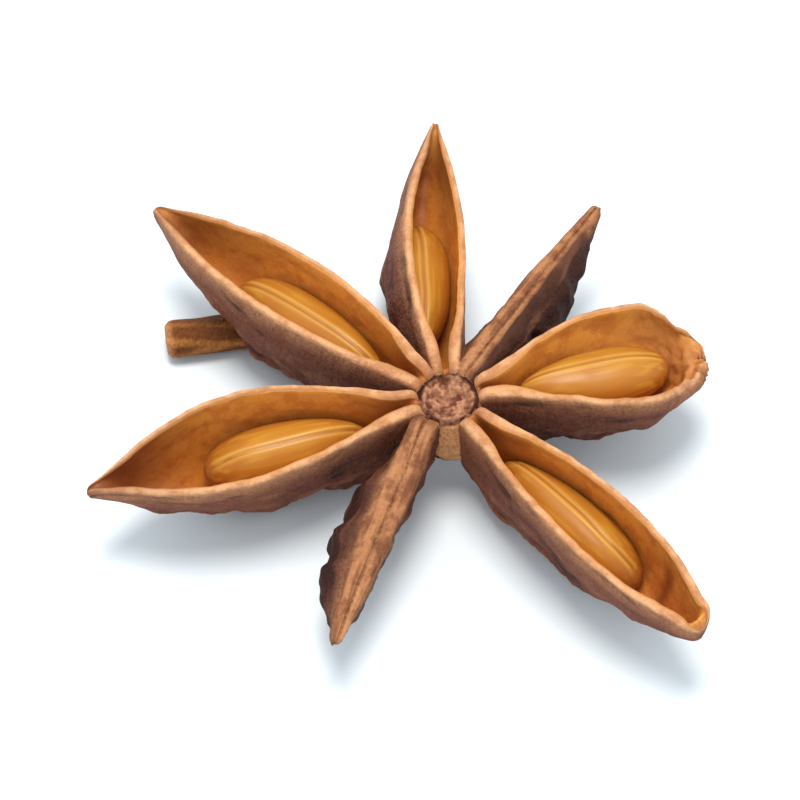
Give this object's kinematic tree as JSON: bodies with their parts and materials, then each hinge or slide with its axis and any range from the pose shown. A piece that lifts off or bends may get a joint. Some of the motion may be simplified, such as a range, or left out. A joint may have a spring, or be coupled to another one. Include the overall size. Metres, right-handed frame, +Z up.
{
  "type": "star anise pod",
  "caption": "Dried star-shaped spice pod of boat-like carpels round a short column, some open over a glossy seed and some shut, on a bent stub of stalk.",
  "frame": {"origin": "under the middle of the pod's footprint, on the surface that it lies on", "axes": "+Z up out of the open mouths, the direction in which the pod is thinnest"},
  "size_m": [0.0316, 0.0312, 0.0069],
  "materials": {
    "husk": "dry wrinkled brown husk, satin orange-brown inside",
    "seed": "glossy golden-amber seed coat"
  },
  "bodies": {
    "root": {"pod": "husk", "seed_1": "seed", "seed_2": "seed", "seed_3": "seed", "seed_4": "seed", "seed_5": "seed"}
  },
  "joints": []
}
